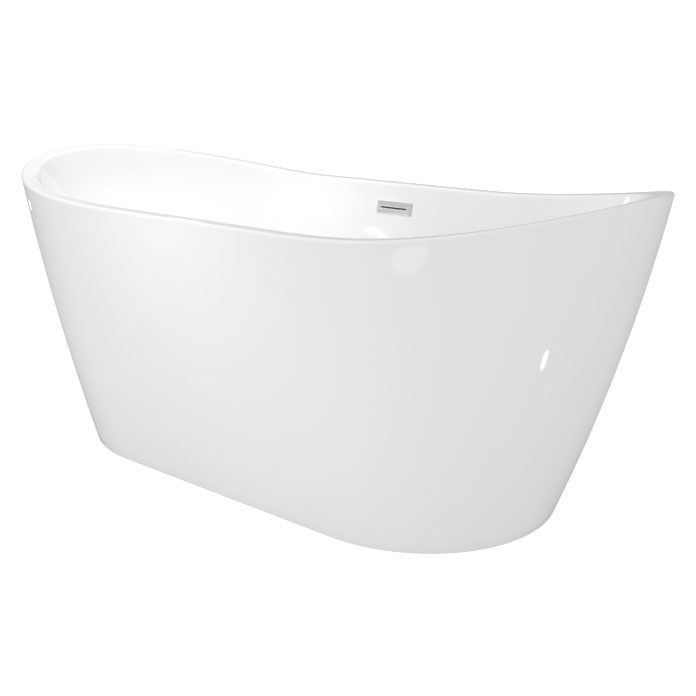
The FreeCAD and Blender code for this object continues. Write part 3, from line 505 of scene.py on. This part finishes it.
# ---------------------------------------------------------------- tub meshes

OPENING_LEVEL = MIDDLE_HEIGHT - OVERFLOW_DROP
WALL_TILT = math.atan(SIDE_SLOPE)
opening_run = well_form(OPENING_LEVEL)[0] - well_form(OPENING_LEVEL)[1]
opening_share = OPENING_LENGTH / 2 / opening_run
opening_edges = [OPENING_LEVEL + side * OPENING_HEIGHT / 2 * math.cos(WALL_TILT) for side in (1, -1)]
half_side = [1 - (1 - opening_share) * step / SIDE_STEPS for step in range(SIDE_STEPS + 1)]
other_side = [-share for share in reversed(half_side)]
side_shares = half_side + [opening_share / 3, -opening_share / 3] + other_side
columns = make_columns(END_STEPS, side_shares[:-1])


def outside_rows(column):
    """Outer wall from the floor edge up to the lip seam, as points."""
    top = meet_rim(outer_form, column, LIP_DEPTH)
    rows = [point_on(outer_form, column, height, inset) for height, inset in BASE_EDGE]
    low = BASE_EDGE[-1][0]
    for step in range(1, OUTSIDE_ROWS + 1):
        share = step / OUTSIDE_ROWS
        rows.append(point_on(outer_form, column, low + (top.z - SEAM_MARGIN - low) * share))
    rows.append(top)
    return rows


def skirt_loop(column):
    """Closed section of the outer shell."""
    outside = outside_rows(column)
    top = meet_rim(outer_form, column, LIP_DEPTH, SKIRT_WALL)
    inside = [point_on(outer_form, column, top.z * (1 - step / INSIDE_ROWS), SKIRT_WALL)
              for step in range(INSIDE_ROWS + 1)]
    return outside + inside


def rim_rows(column):
    """Lip seam, lip, outer rounding, rim and inner rounding, down to the start of the well's wall."""
    normal = column[1]
    seam = meet_rim(outer_form, column, LIP_DEPTH)
    outer_edge = meet_rim(outer_form, column)
    inner_edge = meet_rim(well_form, column)
    down_outside = (-normal * lean(outer_form, column, outer_edge.z) - UP).normalized()
    down_inside = (-normal * lean(well_form, column, inner_edge.z) - UP).normalized()
    inward = (-normal - UP * rim_slope(outer_edge.x) * normal.x).normalized()
    outward = (normal + UP * rim_slope(inner_edge.x) * normal.x).normalized()
    outer_arc = rounded(outer_edge, down_outside, inward, RIM_OUTER, OUTER_ARC_STEPS)
    inner_arc = rounded(inner_edge, outward, down_inside, RIM_INNER, INNER_ARC_STEPS)
    rows = [seam, seam.lerp(outer_arc[0], 0.5)] + outer_arc
    for point in spread(outer_arc[-1], inner_arc[0], RIM_STEPS)[:-1]:
        rows.append(Vector((point.x, point.y, rim_height(point.x))))
    return rows + inner_arc


def floor_arc(column, radius, steps):
    """Rounding from the well's wall to its floor, from the wall side."""
    normal = column[1]
    tilt = math.atan(lean(well_form, column, FLOOR_HEIGHT + FLOOR_RADIUS))
    foot = point_on(well_form, column, FLOOR_HEIGHT + FLOOR_RADIUS * (1 - math.sin(tilt)))
    centre = foot - (normal * math.cos(tilt) - UP * math.sin(tilt)) * FLOOR_RADIUS
    angles = [tilt + (math.pi / 2 - tilt) * step / steps for step in range(steps + 1)]
    return [centre + (normal * math.cos(angle) - UP * math.sin(angle)) * radius for angle in angles]


def wall_heights(top, foot):
    """Heights of the rows down the well's wall; where the rim is level two are at the opening's edges."""
    edge_shares = [(LEVEL_TOP - height) / (LEVEL_TOP - foot) for height in opening_edges]
    shares = [FIRST_WALL_SHARE, edge_shares[0], (edge_shares[0] + edge_shares[1]) / 2, edge_shares[1]]
    shares += [edge_shares[1] + (1 - edge_shares[1]) * step / WALL_ROWS for step in range(1, WALL_ROWS + 1)]
    return [top + (foot - top) * share for share in shares]


def inner_loop(column):
    """Closed section of the inner shell: lip, rim, wall, floor, waste recess and the way back below."""
    rows = rim_rows(column)
    start = rows[-1]
    bend = floor_arc(column, FLOOR_RADIUS, FLOOR_ARC_STEPS)
    heights = wall_heights(start.z, bend[0].z)
    rows += [start.lerp(bend[0], (start.z - height) / (start.z - bend[0].z)) for height in heights]
    rows += bend[1:]
    foot = rows[-1]
    toward = Vector((foot.x, foot.y, 0)).normalized()
    recess = toward * (RECESS_RADIUS + RECESS_MARGIN) + UP * FLOOR_HEIGHT
    rows += [foot.lerp(recess, share) for share in FLOOR_SHARES]
    for out, down in RECESS_EDGE:
        rows.append(toward * (RECESS_RADIUS + out) + UP * (FLOOR_HEIGHT - down))
    rows.append(toward * WASTE_HOLE + UP * (FLOOR_HEIGHT - RECESS_DEPTH))
    rows.append(toward * WASTE_HOLE + UP * (FLOOR_HEIGHT - SHELL))

    under = list(reversed(floor_arc(column, FLOOR_RADIUS + SHELL, UNDER_ARC_STEPS)))
    flange = meet_rim(well_form, column, SHELL, -SHELL / math.cos(WALL_TILT))
    rows.append(toward * (WASTE_HOLE + UNDER_MARGIN) + UP * (FLOOR_HEIGHT - SHELL))
    rows += under
    low = under[-1]
    rows += [low.lerp(flange, (height - low.z) / (flange.z - low.z)) for height in reversed(heights[:-1])]
    under_rim = meet_rim(outer_form, column, SHELL, SHELL)
    lip_end = meet_rim(outer_form, column, LIP_DEPTH, SHELL)
    return rows + [flange, under_rim, lip_end]


def open_window(rings, faces):
    """Faces with the overflow opening cut through both skins, with its four walls."""
    count = len(columns)
    sides = [index for index, (share, normal) in enumerate(columns)
             if normal.y > STRAIGHT_SIDE and abs(abs(share) - opening_share) < SHARE_TOLERANCE]
    first, last = sides
    levels = [row for row, ring in enumerate(rings)
              if any(abs(ring[first].z - edge) < LEVEL_TOLERANCE for edge in opening_edges)]
    top, bottom, under_bottom, under_top = levels
    gone = {row * count + column for column in range(first, last)
            for row in list(range(top, bottom)) + list(range(under_bottom, under_top))}
    kept = [face for index, face in enumerate(faces) if index not in gone]
    for column in range(first, last):
        for row, under in ((top, under_top), (bottom, under_bottom)):
            a, b = row * count + column, under * count + column
            kept.append((a, a + 1, b + 1, b))
    for column in sides:
        for step in range(bottom - top):
            a, b = (top + step) * count + column, (under_top - step) * count + column
            kept.append((a, a + count, b - count, b))
    return kept


LEVEL_TOP = rim_rows((0.0, Vector((0, 1, 0))))[-1].z

skirt_rings = list(zip(*[skirt_loop(column) for column in columns]))
outer_shell = mesh_object("outer_shell", *skin(skirt_rings, True), ACRYLIC)
inner_rings = list(zip(*[inner_loop(column) for column in columns]))
inner_points, inner_faces = skin(inner_rings, True)
inner_shell = mesh_object("inner_shell", inner_points, open_window(inner_rings, inner_faces), ACRYLIC)

# ---------------------------------------------------------------- overflow plate and stopper cap


def rounded_rectangle(half_length, half_height, radius, depth, steps=5):
    """Outline of a rectangle with round corners at a depth."""
    points = []
    for quarter, (sx, sy) in enumerate(((1, 1), (-1, 1), (-1, -1), (1, -1))):
        for step in range(steps + 1):
            angle = math.pi / 2 * (quarter + step / steps)
            points.append(Vector((sx * (half_length - radius) + radius * math.cos(angle),
                                  sy * (half_height - radius) + radius * math.sin(angle), depth)))
    return points


def plate_rings():
    """Closed section of the overflow plate, from the slot over the face and bevels and round the back."""
    slot = SLOT_LENGTH / 2, SLOT_HEIGHT / 2
    face_edge = FACE_LENGTH / 2, FACE_HEIGHT / 2
    outside = PLATE_LENGTH / 2, PLATE_HEIGHT / 2
    pocket = outside[0] - POCKET_MARGIN, outside[1] - POCKET_MARGIN
    end_radius = slot[1] * SLOT_ROUNDING
    # Each row: half size, how much wider it is drawn, corner radius and depth.
    section = [(slot, 0, end_radius, POCKET_DEPTH), (slot, 0, end_radius, PLATE_DEPTH - 0.0004),
               (slot, 0.0001, end_radius, PLATE_DEPTH - 0.0001), (slot, 0.0004, end_radius, PLATE_DEPTH),
               (face_edge, -0.0004, POCKET_CORNER, PLATE_DEPTH),
               (face_edge, 0.0001, FACE_CORNER, PLATE_DEPTH - 0.0001),
               (outside, -0.0003, PLATE_CORNER, PLATE_EDGE + 0.0001),
               (outside, -0.0001, PLATE_CORNER, PLATE_EDGE - 0.0001),
               (outside, 0, PLATE_CORNER, PLATE_EDGE - 0.0003), (outside, 0, PLATE_CORNER, 0.0002),
               (outside, -0.0002, PLATE_CORNER, 0), (pocket, 0.0002, POCKET_CORNER, 0),
               (pocket, 0, POCKET_CORNER, 0.0002), (pocket, 0, POCKET_CORNER, POCKET_DEPTH)]
    return [rounded_rectangle(half[0] + grow, half[1] + grow, radius, depth)
            for half, grow, radius, depth in section]


def turned_rings(profile, steps):
    """Rings about Z from a profile of radius and height."""
    angles = [2 * math.pi * step / steps for step in range(steps)]
    return [[Vector((radius * math.cos(angle), radius * math.sin(angle), height)) for angle in angles]
            for radius, height in profile]


overflow_plate = mesh_object("overflow_cover", *skin(plate_rings(), True), CHROME, 50)
overflow_plate.matrix_world = (Matrix.Translation((0, well_form(OPENING_LEVEL)[1], OPENING_LEVEL))
                               @ Matrix.Rotation(math.pi / 2 - WALL_TILT, 4, "X"))

# The cap: a shallow dome with a soft edge, flat below, with a hub that takes the stem.
dome = [(CAP_RADIUS * DOME_SHARE * step / DOME_ROWS, CAP_HIGH - DOME_FALL * (step / DOME_ROWS) ** 2)
        for step in range(DOME_ROWS + 1)]
cap_edge = [(CAP_RADIUS - 0.0009, CAP_HIGH - 0.0015), (CAP_RADIUS - 0.0003, CAP_HIGH - 0.0021),
            (CAP_RADIUS, CAP_HIGH - 0.0028), (CAP_RADIUS, CAP_LOW + 0.0005),
            (CAP_RADIUS - 0.0002, CAP_LOW + 0.0001), (CAP_RADIUS - 0.0006, CAP_LOW)]
cap_below = [(CAP_HUB + 0.0008, CAP_LOW), (CAP_HUB + 0.0002, CAP_LOW - 0.0002), (CAP_HUB, CAP_LOW - 0.0008),
             (CAP_HUB, CAP_LOW - 0.0037), (CAP_HUB - 0.0003, CAP_LOW - 0.0040),
             (STEM_HOLE, CAP_LOW - 0.0040), (STEM_HOLE, CAP_LOW + 0.0010), (0, CAP_LOW + 0.0010)]
cap_rings = turned_rings(dome + cap_edge + cap_below, CAP_STEPS)
stopper_top = mesh_object("stopper_top", *skin(cap_rings, False), CHROME, 50)

for piece, node, slot, body in ((outer_shell, "skirt", "white_acrylic", "bath"),
                                (inner_shell, "basin", "white_acrylic", "bath"),
                                (overflow_plate, "overflow_plate", "chrome_trim", "bath"),
                                (stopper_top, "stopper_cap", "chrome_trim", "stopper")):
    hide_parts(node)
    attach(piece, body)

# ---------------------------------------------------------------- camera, stage and light

back = Vector((math.sin(AZIMUTH) * math.cos(ELEVATION), -math.cos(AZIMUTH) * math.cos(ELEVATION),
               math.sin(ELEVATION)))
camera_data = bpy.data.cameras.new("camera")
camera_data.sensor_width = SENSOR
camera_data.lens = LENS
camera_data.shift_x = SHIFT_X
camera_data.shift_y = SHIFT_Y
camera_data.clip_end = CAMERA_REACH
camera = bpy.data.objects.new("camera", camera_data)
camera.location = TARGET + back * DISTANCE
camera.rotation_euler = back.to_track_quat("Z", "Y").to_euler()
bpy.context.scene.collection.objects.link(camera)
bpy.context.scene.camera = camera


def layered_strength(nodes, links, looks, lights, gloss):
    """Strength to the camera, as a matt light and in gloss; returns the gloss node and the final node."""
    path = nodes.new("ShaderNodeLightPath")
    cast = map_range(nodes, links, path.outputs["Is Glossy Ray"], lights, gloss)
    seen = map_range(nodes, links, path.outputs["Is Camera Ray"], lights, looks)
    links.new(cast.outputs["Result"], seen.inputs["To Min"])
    return cast, seen


floor_material, nodes, links, shader = new_material("studio_floor", grey(0.35), 0.9)
shader.inputs["Emission Color"].default_value = (1, 1, 1, 1)
floor_seen = layered_strength(nodes, links, FLOOR_LOOK, FLOOR_LIGHT, FLOOR_GLOSS)[1]
links.new(floor_seen.outputs["Result"], shader.inputs["Emission Strength"])
mesh = bpy.data.meshes.new("studio_floor")
corners = [(x * FLOOR_REACH, y * FLOOR_REACH, 0) for x, y in ((-1, -1), (1, -1), (1, 1), (-1, 1))]
mesh.from_pydata(corners, [], [(0, 1, 2, 3)])
mesh.materials.append(floor_material)
floor = bpy.data.objects.new("studio_floor", mesh)
floor.location.z = -FLOOR_DROP
bpy.context.scene.collection.objects.link(floor)

world = bpy.data.worlds.new("studio")
bpy.context.scene.world = world
world.use_nodes = True
nodes, links = world.node_tree.nodes, world.node_tree.links
sky_cast, sky_seen = layered_strength(nodes, links, SKY_LOOK, SKY_LIGHT, SKY_GLOSS_FRONT)
direction = nodes.new("ShaderNodeTexCoord")
backward = map_range(nodes, links, part_of(nodes, links, direction.outputs["Generated"], "Y"),
                     SKY_GLOSS_FRONT, SKY_GLOSS_BACK)
backward.inputs["From Min"].default_value = GLOSS_TURN
links.new(backward.outputs["Result"], sky_cast.inputs["To Max"])
links.new(sky_seen.outputs["Result"], nodes["Background"].inputs["Strength"])
nodes["Background"].inputs["Color"].default_value = (1, 1, 1, 1)
bpy.context.scene.view_settings.view_transform = "Standard"


def soft_box(name, location, target, width, height, radiance, gloss):
    """Area light of a given brightness that shows either in gloss only or in matt shading only."""
    data = bpy.data.lights.new(name, "AREA")
    data.shape = "ELLIPSE"
    data.size = width
    data.size_y = height
    data.energy = radiance * width * height * math.pi
    light = bpy.data.objects.new(name, data)
    light.location = location
    light.rotation_euler = (Vector(location) - Vector(target)).to_track_quat("Z", "Y").to_euler()
    light.visible_camera = False
    light.visible_diffuse = not gloss
    light.visible_glossy = gloss
    bpy.context.scene.collection.objects.link(light)


soft_box("over_left", (-0.55, -0.10, 1.75), (-0.4, 0, 0.3), 1.2, 0.8, 2.7, False)
soft_box("right_wash", (2.4, -0.9, 0.5), (0.5, -0.1, 0.25), 1.2, 0.7, 0.55, False)
soft_box("pool_high", (-0.10, -0.78, 0.60), (-0.02, -0.362, 0.53), 0.20, 0.20, 3.4, False)
soft_box("pool_low", (0.10, -1.05, 0.22), (0.1, -0.33, 0.25), 0.6, 0.2, 1.2, False)
soft_box("well_left", (-0.32, 0.0, 0.60), (-0.32, 0, 0), 0.55, 0.36, 0.6, False)
soft_box("well_end", (-0.10, 0.0, 0.80), (-0.62, 0, 0.45), 0.4, 0.3, 0.75, False)
soft_box("glow", (-0.58, -0.85, 0.31), (0, -0.362, 0.558), 0.24, 0.18, 0.1, True)
soft_box("high_left", (-1.6, -1.2, 0.95), (-0.3, 0.3, 0.5), 0.5, 0.32, 0.25, True)
soft_box("inner_spot", (-1.20, -1.27, 0.82), (-0.02, 0.3, 0.44), 0.11, 0.07, 2.0, True)
soft_box("plate_glint", (-1.14, -1.27, 0.954), (0, 0.315, 0.52), 0.155, 0.056, 3.5, True)
soft_box("far_left", (-1.29, 0.82, 0.96), (0.591, 0.249, 0.605), 0.14, 0.10, 2.0, True)
soft_box("rim_streak", (0.2, -0.9, 2.0), (0.2, -0.3, 0.58), 0.7, 0.15, 0.8, True)
soft_box("front_square", (0.55, -1.30, 0.07), (0.49, -0.34, 0.56), 0.42, 0.105, 0.66, True)
soft_box("right_sliver", (1.035, -0.10, 0.085), (0.648, -0.174, 0.39), 0.02, 0.05, 20.0, True)
soft_box("left_edge", (-1.46, -0.045, 0.363), (-0.519, -0.329, 0.551), 0.03, 0.03, 4.0, True)
